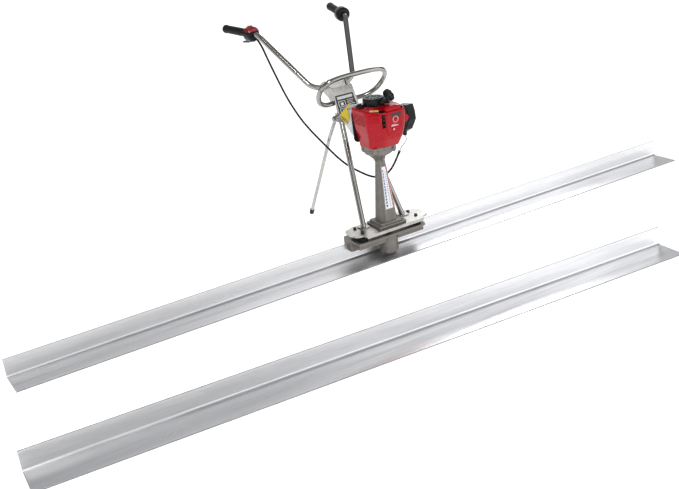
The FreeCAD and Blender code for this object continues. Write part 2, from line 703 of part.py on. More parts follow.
def throttle_trigger():
    x, y, z = housing_centre()
    outline = [(-6, -20), (8, -19), (30, -27), (78, -37), (80, -43), (28, -38), (-2, -32)]
    lever = solid_of([(x - 5, y + a, z + b) for a, b in outline], (10, 0, 0))
    eye = rod(6, (x - 5, y + 2, z - 24), (x + 5, y + 2, z - 24))
    return joined([lever, eye]).cut(rod(2.08, (x - 6, y + 2, z - 24), (x + 6, y + 2, z - 24)))


# ---- stand ----
def stand_leg():
    leg = hollow_tube([STAND_PIVOT, STAND_KNEE, STAND_FOOT], STAND_R, STAND_R - 1.5, 150.0)
    x, y, z = STAND_PIVOT
    eye = rod(12, (x - 8, y, z), (x + 8, y, z)).cut(rod(5, (x - 9, y, z), (x + 9, y, z)))
    return joined([leg.cut(rod(5, (x - 9, y, z), (x + 9, y, z))), eye])


def stand_foot():
    a, b = V(*STAND_KNEE), V(*STAND_FOOT)
    d = (b - a).normalize()
    start, end = b - d * 24, b + d * 3
    return rod(10, start, end).cut(rod(STAND_R, start - d, b)).cut(box(-100, 560, -40, 100, 700, 0))


def stand_pivot():
    x, y, z = STAND_PIVOT
    return joined([rod(4.95, (x - 9, y, z), (x + 12, y, z)), hexagon(15, (x - 9, y, z), (x - 15, y, z))])


def stand_lug():
    x, y, z = STAND_PIVOT
    plate = box(x + 8.4, y - 16, z - 18, x + 18, y + 18, z + 16)
    plate = plate.cut(rod(4.95, (x, y, z), (x + 12, y, z))).cut(mirrored(rod(TUBE_R, TUBE_FOOT, TUBE_HEAD)))
    return plate.cut(head_bracket())


def weld_lugs():
    return group([tube_feet(), stand_lug()])


# ---- throttle cable ----
def throttle_cable():
    return swept(CABLE, CABLE_R, label="throttle_cable")


def stop_wire():
    return swept(WIRE, WIRE_R, label="stop_wire")


def cable_fittings():
    """Ferrule on the cable's end and the connector of the stop wire."""
    a, b = V(*CABLE[-1]), V(*CABLE[-2])
    ferrule = rod(5.2, a, a + (a - b).normalize() * 10)
    connector = box(95, -44, 474, 107, -32, 512).cut(rod(WIRE_R + 0.2, WIRE[-2], WIRE[-1]))
    connector = connector.cut(air_cleaner(88, 112, 0.94))
    return group([ferrule, connector])


NODES = {
    "screed_board": lambda: board(BOARD_L), "spare_board": spare_board,
    "exciter_housing": exciter_housing, "exciter_cover": exciter_cover,
    "eccentric_rotor": eccentric_rotor, "bearings": bearings, "frame_bolts": frame_bolts,
    "isolator_mounts": isolators, "base_plate": base_plate, "column": column,
    "drive_shaft": drive_shaft, "flexible_coupling": flexible_coupling, "clutch_drum": clutch_drum,
    "bell_housing": bell_housing, "crankshaft": crankshaft, "flywheel_fan": flywheel_fan,
    "clutch_shoes": clutch_shoes, "crankcase": crankcase, "cylinder_block": cylinder_block,
    "cylinder_head": cylinder_head, "spark_plug": spark_plug, "ignition_coil": ignition_coil,
    "engine_cover": engine_cover, "cover_panel": cover_panel, "engine_screws": engine_screws,
    "rear_shell": rear_shell, "fuel_tank": fuel_tank, "fuel_cap": fuel_cap, "oil_cap": oil_cap,
    "top_case": top_case, "recoil_housing": recoil_housing, "recoil_pulley": recoil_pulley,
    "recoil_spring": recoil_spring, "starter_rope": starter_rope, "pull_grip": pull_grip,
    "muffler": muffler, "carburettor": carburettor, "air_cleaner_case": air_cleaner_case,
    "air_cleaner_cover": air_cleaner_cover, "choke_lever": choke_lever, "throttle_arm": throttle_arm,
    "frame_tube_right": frame_tube, "frame_tube_left": lambda: mirrored(frame_tube()),
    "weld_lugs": weld_lugs, "head_bracket": head_bracket,
    "clamp_lower": lambda: clamp_half(False), "clamp_upper": lambda: clamp_half(True),
    "handlebar": handlebar, "guard_ring": guard_ring, "hand_grips": hand_grips,
    "control_collar": control_housing, "throttle_housing": throttle_housing, "switch_cap": switch_cap,
    "kill_switch": kill_switch, "throttle_trigger": throttle_trigger, "stand_leg": stand_leg,
    "stand_foot": stand_foot, "throttle_cable": throttle_cable, "stop_wire": stop_wire,
    "cable_fittings": cable_fittings,
}

os.makedirs("parts", exist_ok=True)
for name, make in NODES.items():
    shape = make()
    print(name, "solids", len(shape.Solids), "volume", round(shape.Volume), "valid", shape.isValid())
    shape.exportStep("parts/" + name + ".step")
print("nodes", len(NODES))
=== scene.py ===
import json
import math

import bmesh
import bpy
from mathutils import Matrix, Vector


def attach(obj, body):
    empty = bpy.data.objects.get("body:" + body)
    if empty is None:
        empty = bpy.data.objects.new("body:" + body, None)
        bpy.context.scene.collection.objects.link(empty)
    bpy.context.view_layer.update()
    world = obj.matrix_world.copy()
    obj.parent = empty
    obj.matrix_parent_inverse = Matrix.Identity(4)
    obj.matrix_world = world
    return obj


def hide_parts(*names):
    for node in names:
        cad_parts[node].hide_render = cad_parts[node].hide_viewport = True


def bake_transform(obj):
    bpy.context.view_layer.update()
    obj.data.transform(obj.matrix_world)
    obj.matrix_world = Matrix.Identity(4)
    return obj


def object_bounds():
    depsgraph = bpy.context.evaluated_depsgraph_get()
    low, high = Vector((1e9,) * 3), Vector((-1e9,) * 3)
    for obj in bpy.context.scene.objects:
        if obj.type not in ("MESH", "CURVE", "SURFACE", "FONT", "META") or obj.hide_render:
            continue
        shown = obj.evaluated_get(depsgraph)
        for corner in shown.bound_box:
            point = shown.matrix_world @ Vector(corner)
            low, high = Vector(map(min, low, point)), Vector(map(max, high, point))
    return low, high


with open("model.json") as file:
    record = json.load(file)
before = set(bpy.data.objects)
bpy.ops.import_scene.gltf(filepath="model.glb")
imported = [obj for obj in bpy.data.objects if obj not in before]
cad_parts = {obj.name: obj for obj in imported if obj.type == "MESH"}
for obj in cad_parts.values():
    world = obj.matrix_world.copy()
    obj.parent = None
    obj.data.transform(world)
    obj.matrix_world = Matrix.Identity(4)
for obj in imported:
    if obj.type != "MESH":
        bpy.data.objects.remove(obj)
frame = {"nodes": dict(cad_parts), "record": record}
cad_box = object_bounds()
scene = bpy.context.scene
MM = 0.001

# ---- dimensions shared with the CAD, mm ----
COL_Z0, COL_Z1 = 150, 398                       # tapered shaft of the column
COL_FOOT, COL_NECK = 37, 16                     # its half width at each end
CORNER_FOOT, CORNER_NECK = 15, 6.5              # and its cut corners
TUBE_FOOT, TUBE_HEAD = (92.0, 25.0, 132.0), (28.0, 232.0, 615.0)
LEAN = math.atan2(TUBE_HEAD[1] - TUBE_FOOT[1], TUBE_HEAD[2] - TUBE_FOOT[2])
BRACKET_FACE = -15.35                           # from the tubes' axis to the head bracket's front face
NECK_ROOT, NECK_TOP = (72.0, 78.0, 590.0), (93.0, 52.0, 613.0)
OIL_CAP = (-60.0, 6.0, 612.4)
ROPE_X, ROPE_Z = 29.0, 624.0
ARM_TOP, GRIP_END = (204, 494, 864), (251, 697, 879)
TAG_X = -85.4                                   # outer face of the tag, on the tank's left end

# ---- camera: in front and to the left of the boards, looking down at them ----
CAM_AT = Vector((-1.956917, -3.262454, 1.598471))
CAM_AZ, CAM_EL, CAM_ROLL = (math.radians(a) for a in (-28.01, 21.989, -7.282))
LENS = 54.695


def add_camera():
    back = Vector((math.sin(CAM_AZ) * math.cos(CAM_EL), -math.cos(CAM_AZ) * math.cos(CAM_EL), math.sin(CAM_EL)))
    right = Vector((math.cos(CAM_AZ), math.sin(CAM_AZ), 0))
    up = back.cross(right)
    c, s = math.cos(CAM_ROLL), math.sin(CAM_ROLL)
    right, up = right * c + up * s, up * c - right * s
    data = bpy.data.cameras.new("camera")
    data.lens, data.sensor_width, data.clip_end = LENS, 36, 60
    cam = bpy.data.objects.new("camera", data)
    scene.collection.objects.link(cam)
    cam.matrix_world = Matrix.Translation(CAM_AT) @ Matrix((right, up, back)).transposed().to_4x4()
    scene.camera = cam


# ---- material building ----
class Shader:
    """A Principled material with a few procedural inputs; positions are the object's own, in metres."""

    def __init__(self, name, rough, metal=0.0, **sockets):
        self.mat = bpy.data.materials.new(name)
        self.mat.use_nodes = True
        self.tree = self.mat.node_tree
        self.bsdf = self.tree.nodes["Principled BSDF"]
        self.coords = self.tree.nodes.new("ShaderNodeTexCoord").outputs["Object"]
        self.set("Metallic", metal)
        self.set("Roughness", rough)
        for key, value in sockets.items():
            self.set(key.replace("_", " "), value)

    def set(self, socket, value):
        self.bsdf.inputs[socket].default_value = value

    def link(self, out, to):
        self.tree.links.new(out, to)

    def stretched(self, scale):
        node = self.tree.nodes.new("ShaderNodeMapping")
        node.inputs["Scale"].default_value = scale
        self.link(self.coords, node.inputs["Vector"])
        return node.outputs["Vector"]

    def along_x(self, low, high):
        """0 at x = low, 1 at x = high."""
        split = self.tree.nodes.new("ShaderNodeSeparateXYZ")
        self.link(self.coords, split.inputs[0])
        node = self.tree.nodes.new("ShaderNodeMapRange")
        node.inputs["From Min"].default_value, node.inputs["From Max"].default_value = low, high
        self.link(split.outputs[0], node.inputs["Value"])
        return node.outputs[0]

    def noise(self, scale, detail=4.0, stretch=(1, 1, 1), rough=0.55):
        node = self.tree.nodes.new("ShaderNodeTexNoise")
        node.inputs["Scale"].default_value = scale
        node.inputs["Detail"].default_value = detail
        node.inputs["Roughness"].default_value = rough
        self.link(self.stretched(stretch), node.inputs["Vector"])
        return node.outputs["Fac"]

    def ramp(self, fac, stops):
        node = self.tree.nodes.new("ShaderNodeValToRGB")
        node.color_ramp.elements[0].position, node.color_ramp.elements[1].position = stops[0][0], stops[-1][0]
        for at, _ in stops[1:-1]:
            node.color_ramp.elements.new(at)
        for element, (_, value) in zip(node.color_ramp.elements, stops):
            element.color = (*value, 1) if isinstance(value, tuple) else (value, value, value, 1)
        self.link(fac, node.inputs["Fac"])
        return node.outputs["Color"]

    def mix(self, kind, fac, a, b):
        node = self.tree.nodes.new("ShaderNodeMix")
        node.data_type, node.blend_type = "RGBA", kind
        for slot, value in ((0, fac), (6, a), (7, b)):
            if hasattr(value, "is_linked"):
                self.link(value, node.inputs[slot])
            else:
                node.inputs[slot].default_value = value
        return node.outputs[2]

    def edges(self, low=0.5, high=0.56):
        """1 on convex edges, 0 elsewhere."""
        node = self.tree.nodes.new("ShaderNodeNewGeometry")
        return self.ramp(node.outputs["Pointiness"], [(low, 0.0), (high, 1.0)])

    def colour(self, out):
        self.link(out, self.bsdf.inputs["Base Color"])
        return self

    def rough(self, out):
        self.link(out, self.bsdf.inputs["Roughness"])
        return self

    def bump(self, height, strength, distance):
        node = self.tree.nodes.new("ShaderNodeBump")
        node.inputs["Strength"].default_value = strength
        node.inputs["Distance"].default_value = distance
        self.link(height, node.inputs["Height"])
        previous = self.bsdf.inputs["Normal"].links
        if previous:
            self.link(previous[0].from_socket, node.inputs["Normal"])
        self.link(node.outputs["Normal"], self.bsdf.inputs["Normal"])
        return self


def tones(*values):
    return [(i / (len(values) - 1) * 0.4 + 0.3, v) for i, v in enumerate(values)]


def metal(name, dark, light, rough, stretch=(1, 1, 1), scale=120, grain=900, bump=0.1, metallic=1.0, **sockets):
    s = Shader(name, rough, metallic, **sockets)
    s.colour(s.ramp(s.noise(scale, 5, stretch), tones(dark, light)))
    s.rough(s.ramp(s.noise(scale * 1.7, 4, stretch), tones(rough * 0.8, rough * 1.25)))
    return s.bump(s.noise(grain, 3, stretch), bump, 0.0004)


def plastic(name, dark, light, rough, grain=1400, bump=0.12, **sockets):
    s = Shader(name, rough, 0.0, **sockets)
    s.colour(s.ramp(s.noise(60, 5), tones(dark, light)))
    s.rough(s.ramp(s.noise(140, 4), tones(rough * 0.85, rough * 1.2)))
    return s.bump(s.noise(grain, 2), bump, 0.0003)


def make_materials():
    m = {}
    board = Shader("board_aluminium", 0.34, 1.0, Anisotropic=0.4)
    drawn = board.noise(90, 6, (0.02, 1, 1), 0.65)
    patches = board.noise(3.5, 4, (0.5, 1.4, 1.4))
    shares = ((0.0, 0.68), (0.2, 0.76), (0.42, 0.89), (0.52, 0.94), (0.62, 1.0), (0.75, 0.96), (0.85, 0.90),
              (1.0, 0.90))                      # brightness along the board, standing in for the studio's light
    sheen = board.ramp(board.along_x(-1.7, 1.7), [(at, (v, v, v * 1.008)) for at, v in shares])
    grain = board.mix("MULTIPLY", 0.5, board.ramp(drawn, tones((0.86, 0.86, 0.865), (1.0, 1.0, 1.0))),
                      board.ramp(patches, tones((0.86, 0.855, 0.85), (1.0, 1.0, 1.0))))
    board.colour(board.mix("MULTIPLY", 1.0, sheen, grain))
    board.rough(board.ramp(board.noise(60, 5, (0.05, 1, 1)), tones(0.27, 0.42)))
    board.bump(board.noise(700, 3, (0.004, 1, 1)), 0.10, 0.0003)
    m["board_aluminium"] = board
    # painted shade: dark grey metal for the boards' upward flange tops and low front faces, standing in for the dark
    # reflection there
    m["board_painted_shade"] = metal("board_painted_shade", (0.16, 0.16, 0.165), (0.24, 0.24, 0.245), 0.5, scale=60)
    cast = Shader("cast_grey", 0.5, 0.35)
    skin = cast.ramp(cast.noise(35, 6), tones((0.15, 0.136, 0.122), (0.205, 0.188, 0.170)))
    cast.colour(cast.mix("MIX", cast.edges(), skin, (0.32, 0.30, 0.275, 1)))
    cast.rough(cast.ramp(cast.noise(90, 4), tones(0.40, 0.58)))
    cast.bump(cast.noise(650, 4), 0.22, 0.0005)
    m["cast_grey"] = cast
    m["plate_steel"] = metal("plate_steel", (0.36, 0.348, 0.328), (0.50, 0.487, 0.465), 0.3, scale=40)
    m["tube_steel"] = metal("tube_steel", (0.30, 0.287, 0.268), (0.39, 0.376, 0.355), 0.14, scale=14, grain=400,
                            bump=0.012)
    m["bolt_black"] = metal("bolt_black", (0.03, 0.03, 0.032), (0.07, 0.07, 0.072), 0.4, metallic=0.8)
    m["bearing_steel"] = metal("bearing_steel", (0.45, 0.45, 0.45), (0.6, 0.6, 0.6), 0.25)
    m["rubber_black"] = plastic("rubber_black", (0.006, 0.006, 0.006), (0.012, 0.012, 0.013), 0.6, 900, 0.3,
                                Specular_IOR_Level=0.25)
    m["plastic_black"] = plastic("plastic_black", (0.005, 0.006, 0.007), (0.010, 0.012, 0.013), 0.3,
                                 Specular_IOR_Level=0.2)
    red = Shader("cover_red", 0.3, 0.0, Coat_Weight=0.3, Coat_Roughness=0.03, Specular_IOR_Level=0.1)
    red.colour(red.ramp(red.noise(25, 4), tones((0.36, 0.0005, 0.007), (0.42, 0.001, 0.010))))
    red.rough(red.ramp(red.noise(80, 3), tones(0.24, 0.32)))
    red.bump(red.noise(260, 2), 0.04, 0.0004)
    m["cover_red"] = red
    m["switch_red"] = plastic("switch_red", (0.22, 0.006, 0.012), (0.30, 0.012, 0.02), 0.22)
    tank = Shader("tank_white", 0.34, 0.0, Subsurface_Weight=0.35)
    tank.set("Subsurface Radius", (0.01, 0.01, 0.01))
    tank.colour(tank.ramp(tank.noise(18, 4), tones((0.50, 0.51, 0.53), (0.62, 0.63, 0.65))))
    tank.bump(tank.noise(500, 2), 0.08, 0.0004)
    m["tank_white"] = tank
    m["engine_metal"] = metal("engine_metal", (0.17, 0.162, 0.15), (0.24, 0.23, 0.215), 0.45, grain=700, bump=0.25,
                              metallic=0.6)
    m["shaft_steel"] = metal("shaft_steel", (0.40, 0.40, 0.40), (0.54, 0.54, 0.54), 0.28)
    rope = Shader("rope_fibre", 0.8)
    wave = rope.tree.nodes.new("ShaderNodeTexWave")
    wave.inputs["Scale"].default_value = 350
    rope.link(rope.coords, wave.inputs["Vector"])
    rope.colour(rope.ramp(wave.outputs["Fac"], [(0.2, (0.35, 0.34, 0.31)), (0.8, (0.68, 0.67, 0.62))]))
    rope.bump(wave.outputs["Fac"], 0.5, 0.0006)
    m["rope_fibre"] = rope
    m["clamp_grey"] = metal("clamp_grey", (0.56, 0.56, 0.555), (0.68, 0.68, 0.675), 0.42, grain=800, bump=0.2)
    m["wire_red"] = plastic("wire_red", (0.035, 0.002, 0.003), (0.06, 0.004, 0.005), 0.45, Specular_IOR_Level=0.3)
    m["label_white"] = plastic("label_white", (0.74, 0.74, 0.74), (0.82, 0.82, 0.82), 0.45)
    m["label_black"] = plastic("label_black", (0.012, 0.012, 0.014), (0.02, 0.02, 0.022), 0.35)
    m["label_yellow"] = plastic("label_yellow", (0.56, 0.40, 0.004), (0.66, 0.50, 0.008), 0.42,
                                Specular_IOR_Level=0.15)
    m["label_maroon"] = plastic("label_maroon", (0.055, 0.006, 0.008), (0.085, 0.012, 0.014), 0.3)
    m["label_pink"] = plastic("label_pink", (0.72, 0.50, 0.50), (0.82, 0.62, 0.62), 0.3)
    m["label_red"] = plastic("label_red", (0.62, 0.03, 0.03), (0.74, 0.05, 0.04), 0.4)
    m["label_blue"] = plastic("label_blue", (0.05, 0.08, 0.25), (0.08, 0.12, 0.33), 0.4)
    m["label_orange"] = plastic("label_orange", (0.82, 0.45, 0.18), (0.88, 0.6, 0.35), 0.4)
    return {k: s.mat for k, s in m.items()}


MAT = make_materials()
SLOT_OF = {part["node"]: part["material_slot"] for part in frame["record"]["subparts"]}
for node_name, node in frame["nodes"].items():
    node.data.materials.clear()
    node.data.materials.append(MAT[SLOT_OF[node_name]])
frame["nodes"]["muffler"].data.materials[0] = MAT["bolt_black"]

BODY_OF = {n: b for b, names in frame["record"]["behaviour"]["bodies"].items() for n in names}


def finish_piece(obj, nodes, body=None, slot=None):
    nodes = [nodes] if isinstance(nodes, str) else list(nodes)
    slot = slot or (SLOT_OF[nodes[0]] if nodes else None)
    if slot and not obj.data.materials:
        obj.data.materials.append(MAT[slot])
    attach(obj, body or BODY_OF[nodes[0]])
    if nodes:
        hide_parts(*nodes)
    return obj


# ---- mesh building: bmesh in millimetres, finished objects in metres ----
BEVEL_FROM = 32                                 # edges sharper than this many degrees are rounded


def finish_mesh(name, bm, sharp=35):
    bmesh.ops.recalc_face_normals(bm, faces=bm.faces)
    bmesh.ops.scale(bm, vec=(MM, MM, MM), verts=bm.verts)
    mesh = bpy.data.meshes.new(name)
    bm.to_mesh(mesh)
    bm.free()
    obj = bpy.data.objects.new(name, mesh)
    scene.collection.objects.link(obj)
    shade(obj, sharp)
    return obj


def shade(obj, sharp):
    obj.data.polygons.foreach_set("use_smooth", [True] * len(obj.data.polygons))
    obj.data.set_sharp_from_angle(angle=math.radians(sharp))


def apply_modifiers(obj, sharp=35):
    """Bakes the modifiers; sharp=None keeps the normals that they made."""
    graph = bpy.context.evaluated_depsgraph_get()
    mesh = bpy.data.meshes.new_from_object(obj.evaluated_get(graph))
    obj.modifiers.clear()
    obj.data = mesh
    if sharp:
        shade(obj, sharp)
    return obj


def bevelled(obj, width, segments=2):
    """Rounds the sharp edges; the flat faces beside them stay flat to the light."""
    mod = obj.modifiers.new("bevel", "BEVEL")
    mod.width, mod.segments, mod.limit_method = width * MM, segments, "ANGLE"
    mod.angle_limit = math.radians(BEVEL_FROM)
    mod = obj.modifiers.new("normals", "WEIGHTED_NORMAL")
    mod.weight, mod.keep_sharp = 90, True
    return apply_modifiers(obj, None)


def remeshed(obj, voxel, rounds):
    """One skin over overlapping solids, with every edge rounded as in a moulding or casting."""
    mod = obj.modifiers.new("remesh", "REMESH")
    mod.mode, mod.voxel_size = "VOXEL", voxel * MM
    mod = obj.modifiers.new("smooth", "SMOOTH")
    mod.factor, mod.iterations = 0.5, rounds
    return apply_modifiers(obj, 180)


def carved(obj, cutter):
    mod = obj.modifiers.new("cut", "BOOLEAN")
    mod.operation, mod.object, mod.solver = "DIFFERENCE", cutter, "EXACT"
    apply_modifiers(obj)
    bpy.data.objects.remove(cutter)
    return obj


def skin_of(node, add=None, cut=None):
    """Copy of a CAD node in millimetres, with lumps added or cut."""
    bm = bmesh.new()
    bm.from_mesh(frame["nodes"][node].data)
    bmesh.ops.remove_doubles(bm, verts=bm.verts, dist=0.00002)
    bmesh.ops.dissolve_limit(bm, angle_limit=math.radians(0.4), verts=bm.verts, edges=bm.edges)
    bmesh.ops.scale(bm, vec=(1 / MM,) * 3, verts=bm.verts)
    if add:
        add(bm)
    obj = finish_mesh(node + "_skin", bm)
    if cut:
        cutter = bmesh.new()
        cut(cutter)
        carved(obj, finish_mesh("cutter", cutter))
    return obj


def softened(node, width, segments=2):
    """The CAD shape with its sharp edges broken."""
    return finish_piece(bevelled(skin_of(node), width, segments), node)


def moulded(node, voxel, rounds, add=None, cut=None):
    """The CAD shape as a casting or moulding, rounded everywhere."""
    return finish_piece(remeshed(skin_of(node, add, cut), voxel, rounds), node)


def add_loft(bm, rings, close=True):
    rows = [[bm.verts.new(p) for p in ring] for ring in rings]
    count = len(rows[0])
    for low, high in zip(rows, rows[1:]):
        for i in range(count):
            j = (i + 1) % count
            bm.faces.new((low[i], low[j], high[j], high[i]))
    if close:
        bm.faces.new(rows[0])
        bm.faces.new(rows[-1][::-1])


def add_box(bm, x0, y0, z0, x1, y1, z1):
    add_loft(bm, [[(x0, y0, z), (x1, y0, z), (x1, y1, z), (x0, y1, z)] for z in (z0, z1)])


def axis_frame(at, axis):
    return Matrix.Translation(at) @ Vector(axis).to_track_quat("Z", "Y").to_matrix().to_4x4()


def add_lathe(bm, profile, at=(0, 0, 0), axis=(0, 0, 1), count=48, wobble=None):
    """Profile of (radius, height); wobble(angle, radius, height) returns another radius."""
    place = axis_frame(at, axis)
    rings = []
    for r, h in profile:
        ring = []
        for i in range(count):
            a = 2 * math.pi * i / count
            rr = wobble(a, r, h) if wobble else r
            ring.append(place @ Vector((rr * math.cos(a), rr * math.sin(a), h)))
        rings.append(ring)
    add_loft(bm, rings)


def rounded_profile(points, radius, steps=4):
    """Corners of an open profile or a closed plan replaced by short arcs."""
    out = []
    for i, p in enumerate(points):
        p = Vector(p)
        a, b = Vector(points[i - 1]), Vector(points[(i + 1) % len(points)])
        u, w = a - p, b - p
        cut = min(radius, 0.45 * u.length, 0.45 * w.length)
        start, end = p + u.normalized() * cut, p + w.normalized() * cut
        for k in range(steps + 1):
            t = k / steps
            out.append(tuple(start * (1 - t) ** 2 + p * 2 * t * (1 - t) + end * t ** 2))
    return out


def lathe_profile(points, radius, steps=3):
    """As rounded_profile, but the two ends on the axis stay."""
    inner = rounded_profile(points, radius, steps)
    return [points[0]] + inner[steps + 1:-(steps + 1)] + [points[-1]]


def add_rod(bm, r, a, b, count=16, bevel=0.0):
    a, b = Vector(a), Vector(b)
    h = (b - a).length
    profile = [(r - bevel, 0), (r, bevel), (r, h - bevel), (r - bevel, h)] if bevel else [(r, 0), (r, h)]
    add_lathe(bm, profile, a, b - a, count)


# ---- red engine cover ----
# left side, left front corner, front, right side and height
COVER = [(-58.5, -36, -66, 60, 456.5), (-60, -39, -77, 63, 474), (-63, -44, -88, 66, 492), (-71, -52, -98, 72, 526),
         (-76, -56, -102, 76, 562), (-78, -57, -103, 77, 590), (-77, -56, -101, 75, 604), (-75, -54, -97, 71, 612)]


def cover_at(z, item):
    for low, high in zip(COVER, COVER[1:]):
        if z <= high[4]:
            t = max(0.0, (z - low[4]) / (high[4] - low[4]))
            return low[item] + (high[item] - low[item]) * t
    return COVER[-1][item]


def add_panel(bm):
    plan = [(-15, 600), (55, 600), (57, 560), (51, 528), (36, 510), (10, 503), (-7, 509), (-16, 532)]
    plan = rounded_profile(plan, 12, 5)
    cx, cz = 20, 552
    rings = []
    for push, grow in ((2.5, 1.03), (-2.5, 1.0), (-5.5, 0.965), (-6.5, 0.90)):
        rings.append([(cx + (x - cx) * grow, cover_at(z, 2) + push, cz + (z - cz) * grow) for x, z in plan])
    add_loft(bm, rings)


def cover_plan(section, inset=0.0):
    left, corner, front, right, z = section
    x0, x1, y0, y1 = left + inset, right - inset, front + inset, 43 - inset
    plan = [(x0, y1), (x0, corner + inset), (x0 + 39, y0 + 4), (x0 + 52, y0), (x1 - 14, y0), (x1 - 3, y0 + 6),
            (x1, y0 + 20), (x1, y1)]
    return [(x, y, z) for x, y in rounded_profile(plan, 9, 4)]


def cover_cuts(bm):
    inner = [[(x, y, min(max(z, 467), 605)) for x, y, z in cover_plan(s, 3.4)] for s in COVER]
    add_loft(bm, inner)


def cover_openings(bm):
    add_rod(bm, 57.4, (0, 0, 450), (0, 0, 474), 64)
    add_rod(bm, 42.5, (0, 0, 598), (0, 0, 625), 64)
    add_rod(bm, 15, (58, -14, 540), (90, -14, 540), 32)
    add_rod(bm, 4, (60, -34, 506), (90, -34, 506), 16)


def cover_slots(bm):
    for i in range(9):                      # louvres in the left side
        y = 31 - 9.6 * i
        add_loft(bm, [[(-95, y, z), (-64, y, z), (-64, y + 4.6, z), (-95, y + 4.6, z)] for z in (548, 592)])
    add_loft(bm, [[(-33, -120, z), (-18, -120, z), (-18, cover_at(z, 2) + 7, z), (-33, cover_at(z, 2) + 7, z)]
                  for z in (542, 562, 594)])
    for i in range(6):                      # grille in the top, in front of the starter
        x = -46 + 10 * i
        add_loft(bm, [[(x - 6, -80, z), (x - 1, -80, z), (x + 4, -56, z), (x - 1, -56, z)] for z in (596, 625)])


def engine_cover():
    bm = bmesh.new()
    add_loft(bm, [cover_plan(s) for s in COVER])
    cut = bmesh.ops.bisect_plane(bm, geom=bm.verts[:] + bm.edges[:] + bm.faces[:], plane_co=(0, -82.5, 604.5),
                                 plane_no=(0, -0.2267, 1.0), clear_outer=True)
    bmesh.ops.holes_fill(bm, edges=[e for e in cut["geom_cut"] if isinstance(e, bmesh.types.BMEdge)])
    body = finish_mesh("engine_cover_shell", bm)
    for cutter in (cover_cuts, cover_openings):
        bm = bmesh.new()
        cutter(bm)
        body = carved(body, finish_mesh("cover_cutter", bm))
    bm = bmesh.new()
    bm.from_mesh(body.data)
    bmesh.ops.scale(bm, vec=(1 / MM,) * 3, verts=bm.verts)
    bpy.data.objects.remove(body)
    add_panel(bm)
    nose = [(68, 540), (90, 546), (94, 559), (84, 571), (68, 576)]
    add_loft(bm, [[(x, y, z) for x, z in rounded_profile(nose, 4, 3)] for y in (-89, -70)])
    hump = rounded_profile([(-14, -98), (58, -98), (63, -80), (58, -48), (-4, -52)], 16, 5)
    add_loft(bm, [[(26 + (x - 26) * k, -74 + (y + 74) * k, z) for x, y in hump]
                  for z, k in ((600, 1.0), (609, 0.96), (614, 0.84), (616.5, 0.55))])
    hump = rounded_profile([(-64, -36), (-46, -58), (-27, -56), (-34, -40), (-44, -20), (-60, -16)], 9, 4)
    add_loft(bm, [[(-46 + (x + 46) * k, -38 + (y + 38) * k, z) for x, y in hump]
                  for z, k in ((600, 1.0), (612, 0.97), (616, 0.82), (617.5, 0.5))])
    cover = remeshed(finish_mesh("engine_cover_shell", bm), 1.0, 5)
    bm = bmesh.new()
    cover_slots(bm)
    cover = carved(cover, finish_mesh("cover_cutter", bm))
    shade(cover, 50)
    return finish_piece(cover, ("engine_cover", "cover_panel"))


# ---- labels: plain generic marks on thin plates ----
def add_sheet(bm, corners, thick, index=0):
    """Thin plate on four corners; it stands out along their normal."""
    a, b, c, d = (Vector(p) for p in corners)
    normal = (b - a).cross(d - a).normalized() * thick
    start = len(bm.faces)
    add_loft(bm, [(a, b, c, d), [p + normal for p in (a, b, c, d)]])
    bm.faces.ensure_lookup_table()
    for face in bm.faces[start:]:
        face.material_index = index


def on_sheet(corners, u0, v0, u1, v1, lift):
    """A smaller rectangle on a four-corner sheet, in shares of its width and height."""
    a, b, c, d = (Vector(p) for p in corners)
    normal = (b - a).cross(d - a).normalized() * lift

    def at(u, v):
        return (a * (1 - u) + b * u) * (1 - v) + (d * (1 - u) + c * u) * v + normal
    return [at(u0, v0), at(u1, v0), at(u1, v1), at(u0, v1)]


def label(name, corners, body, mats, bars):
    bm = bmesh.new()
    add_sheet(bm, corners, 0.35)
    for u0, v0, u1, v1, index in bars:
        add_sheet(bm, on_sheet(corners, u0, v0, u1, v1, 0.3), 0.18 + 0.1 * index, index)
    obj = finish_mesh(name, bm)
    for mat in mats:
        obj.data.materials.append(MAT[mat])
    return finish_piece(obj, (), body)


# ---- the rest of the engine ----
def recoil_slots(bm):
    for i in range(12):
        a = 2 * math.pi * i / 12 + 0.13
        c, s = math.cos(a), math.sin(a)
        quad = [(17, -1.8), (31, -2.6), (31, 2.6), (17, 1.8)]
        add_loft(bm, [[(u * c - v * s, u * s + v * c, z) for u, v in quad] for z in (638.6, 645)])
    add_lathe(bm, [(0.1, 639.8), (12, 639.8), (12, 645), (0.1, 645)])


def fuel_cap():
    axis = Vector(NECK_TOP) - Vector(NECK_ROOT)
    at = Vector(NECK_TOP) + axis.normalized() * 0.4

    def lobes(a, r, h):
        return r - 3.6 * (0.5 + 0.5 * math.cos(7 * a)) ** 2 * min(1.0, max(0.0, (r - 15) / 6))
    profile = [(0.1, 0), (26, 0), (26, 15), (23, 20), (16.5, 20), (15.5, 17.6), (6, 17.6), (5, 18.6), (0.1, 18.6)]
    bm = bmesh.new()
    add_lathe(bm, lathe_profile(profile, 1.6), at, axis, 112, lobes)
    return finish_piece(finish_mesh("fuel_cap_lobed", bm), "fuel_cap")


def oil_cap():
    bm = bmesh.new()
    profile = [(0.1, 0), (15, 0), (15, 7), (12, 10), (0.1, 10)]
    add_lathe(bm, lathe_profile(profile, 1.2), OIL_CAP, (0, 0, 1), 96,
              lambda a, r, h: r - 1.1 * (0.5 + 0.5 * math.cos(12 * a)) * min(1.0, r / 15))
    add_box(bm, OIL_CAP[0] - 9, OIL_CAP[1] - 2, OIL_CAP[2] + 5, OIL_CAP[0] + 9, OIL_CAP[1] + 2, OIL_CAP[2] + 14)
    return finish_piece(bevelled(finish_mesh("oil_cap_ribbed", bm), 0.6), "oil_cap")


